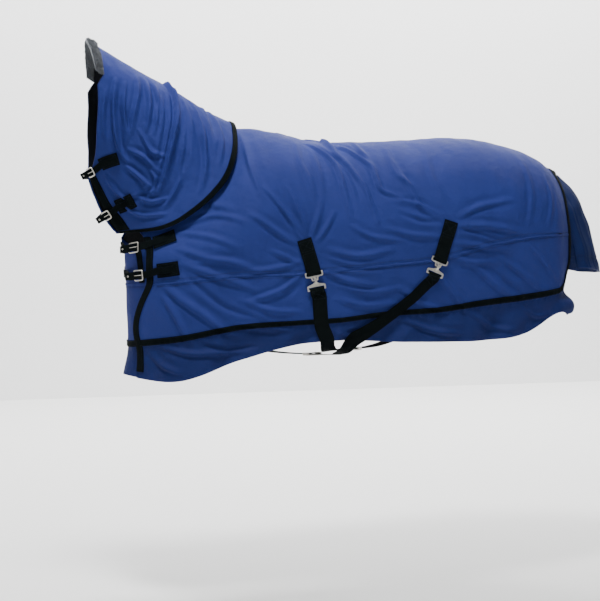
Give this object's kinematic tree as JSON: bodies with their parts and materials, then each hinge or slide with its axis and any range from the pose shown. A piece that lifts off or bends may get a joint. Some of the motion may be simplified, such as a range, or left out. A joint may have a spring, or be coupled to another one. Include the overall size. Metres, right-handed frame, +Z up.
{
  "type": "turnout rug",
  "caption": "Turnout rug shaped to a horse, with detachable neck cover, buckled chest and throat straps, crossed belly straps and a tail flap.",
  "frame": {"origin": "on the underside of the lining over the middle of the horse's back, on the mid-plane", "axes": "+X towards the tail, -Y to the horse's left (buckle) side, +Z up"},
  "size_m": [2.0015, 0.6814, 1.1546],
  "materials": {
    "blue_polyester": "coated woven polyester",
    "blue_polyester_dark": "coated woven polyester",
    "black_webbing": "ribbed polyester webbing",
    "lining_nylon": "smooth nylon lining",
    "grey_fleece": "pile fleece",
    "nickel": "polished nickel plate"
  },
  "bodies": {
    "rug": {"back_panel": "blue_polyester", "side_panel_left": "blue_polyester", "skirt_left": "blue_polyester_dark", "side_panel_right": "blue_polyester", "skirt_right": "blue_polyester_dark", "body_lining": "lining_nylon", "hem_binding_left": "black_webbing", "hem_binding_right": "black_webbing", "front_binding_left": "black_webbing", "front_binding_right": "black_webbing", "chest_upper_patch": "black_webbing", "chest_upper_buckle_frame": "nickel", "chest_upper_buckle_chape": "black_webbing", "chest_upper_billet": "black_webbing", "chest_lower_patch": "black_webbing", "chest_lower_buckle_frame": "nickel", "chest_lower_buckle_chape": "black_webbing", "chest_lower_billet": "black_webbing", "chest_upper_buckle_patch": "black_webbing", "chest_lower_buckle_patch": "black_webbing", "chest_buckle_band": "black_webbing", "front_surcingle_tab": "black_webbing", "front_slot_plate": "nickel", "front_t_hook": "nickel", "rear_surcingle_tab": "black_webbing", "rear_slot_plate": "nickel", "rear_t_hook": "nickel", "front_surcingle_strap": "black_webbing", "front_surcingle_anchor": "black_webbing", "rear_surcingle_strap": "black_webbing", "rear_surcingle_anchor": "black_webbing"},
    "neck_cover": {"neck_cover_shell": "blue_polyester", "neck_cover_lining": "lining_nylon", "neck_rear_binding": "black_webbing", "poll_fleece": "grey_fleece", "throat_binding_left": "black_webbing", "throat_binding_right": "black_webbing", "throat_upper_patch": "black_webbing", "throat_upper_buckle_frame": "nickel", "throat_upper_buckle_chape": "black_webbing", "throat_upper_billet": "black_webbing", "throat_upper_buckle_patch": "black_webbing", "throat_lower_patch": "black_webbing", "throat_lower_buckle_frame": "nickel", "throat_lower_buckle_chape": "black_webbing", "throat_lower_billet": "black_webbing", "throat_lower_buckle_patch": "black_webbing"},
    "tail_flap_swing": {"tail_flap": "blue_polyester_dark", "tail_flap_hem": "blue_polyester_dark"},
    "chest_upper_prong": {"chest_upper_buckle_prong": "nickel"},
    "chest_lower_prong": {"chest_lower_buckle_prong": "nickel"},
    "front_adjuster": {"front_surcingle_adjuster": "nickel"},
    "rear_adjuster": {"rear_surcingle_adjuster": "nickel"},
    "throat_upper_prong": {"throat_upper_buckle_prong": "nickel"},
    "throat_lower_prong": {"throat_lower_buckle_prong": "nickel"}
  },
  "joints": [
    {"name": "neck_cover_pull_off", "type": "slide", "parent": "rug", "child": "neck_cover", "axis": [-0.8838, 0, 0.4679], "range_m": [0, 0.3]},
    {"name": "tail_flap_lift", "type": "hinge", "parent": "rug", "child": "tail_flap_swing", "pos_m": [0.982, 0, -0.08706], "axis": [0, -1, 0], "range_deg": [0, 60]},
    {"name": "chest_upper_prong_turn", "type": "hinge", "parent": "rug", "child": "chest_upper_prong", "pos_m": [-0.68384, -0.07847, -0.37761], "axis": [-0.031, -0.2141, -0.9763], "range_deg": [0, 14]},
    {"name": "chest_lower_prong_turn", "type": "hinge", "parent": "rug", "child": "chest_lower_prong", "pos_m": [-0.67068, -0.09961, -0.47024], "axis": [0.078, -0.042, -0.9961], "range_deg": [0, 14]},
    {"name": "throat_upper_prong_turn", "type": "hinge", "parent": "neck_cover", "child": "throat_upper_prong", "pos_m": [-0.81752, -0.0449, -0.1263], "axis": [0.4519, -0.023, -0.8918], "range_deg": [0, 10]},
    {"name": "throat_lower_prong_turn", "type": "hinge", "parent": "neck_cover", "child": "throat_lower_prong", "pos_m": [-0.76399, -0.03924, -0.2721], "axis": [0.5402, 0.015, -0.8414], "range_deg": [0, 10]},
    {"name": "front_adjuster_slide", "type": "slide", "parent": "rug", "child": "front_adjuster", "axis": [0.6668, 0.7448, -0.024], "range_m": [-0.02, 0.02]},
    {"name": "rear_adjuster_slide", "type": "slide", "parent": "rug", "child": "rear_adjuster", "axis": [-0.3939, 0.9189, -0.023], "range_m": [-0.02, 0.02]}
  ]
}
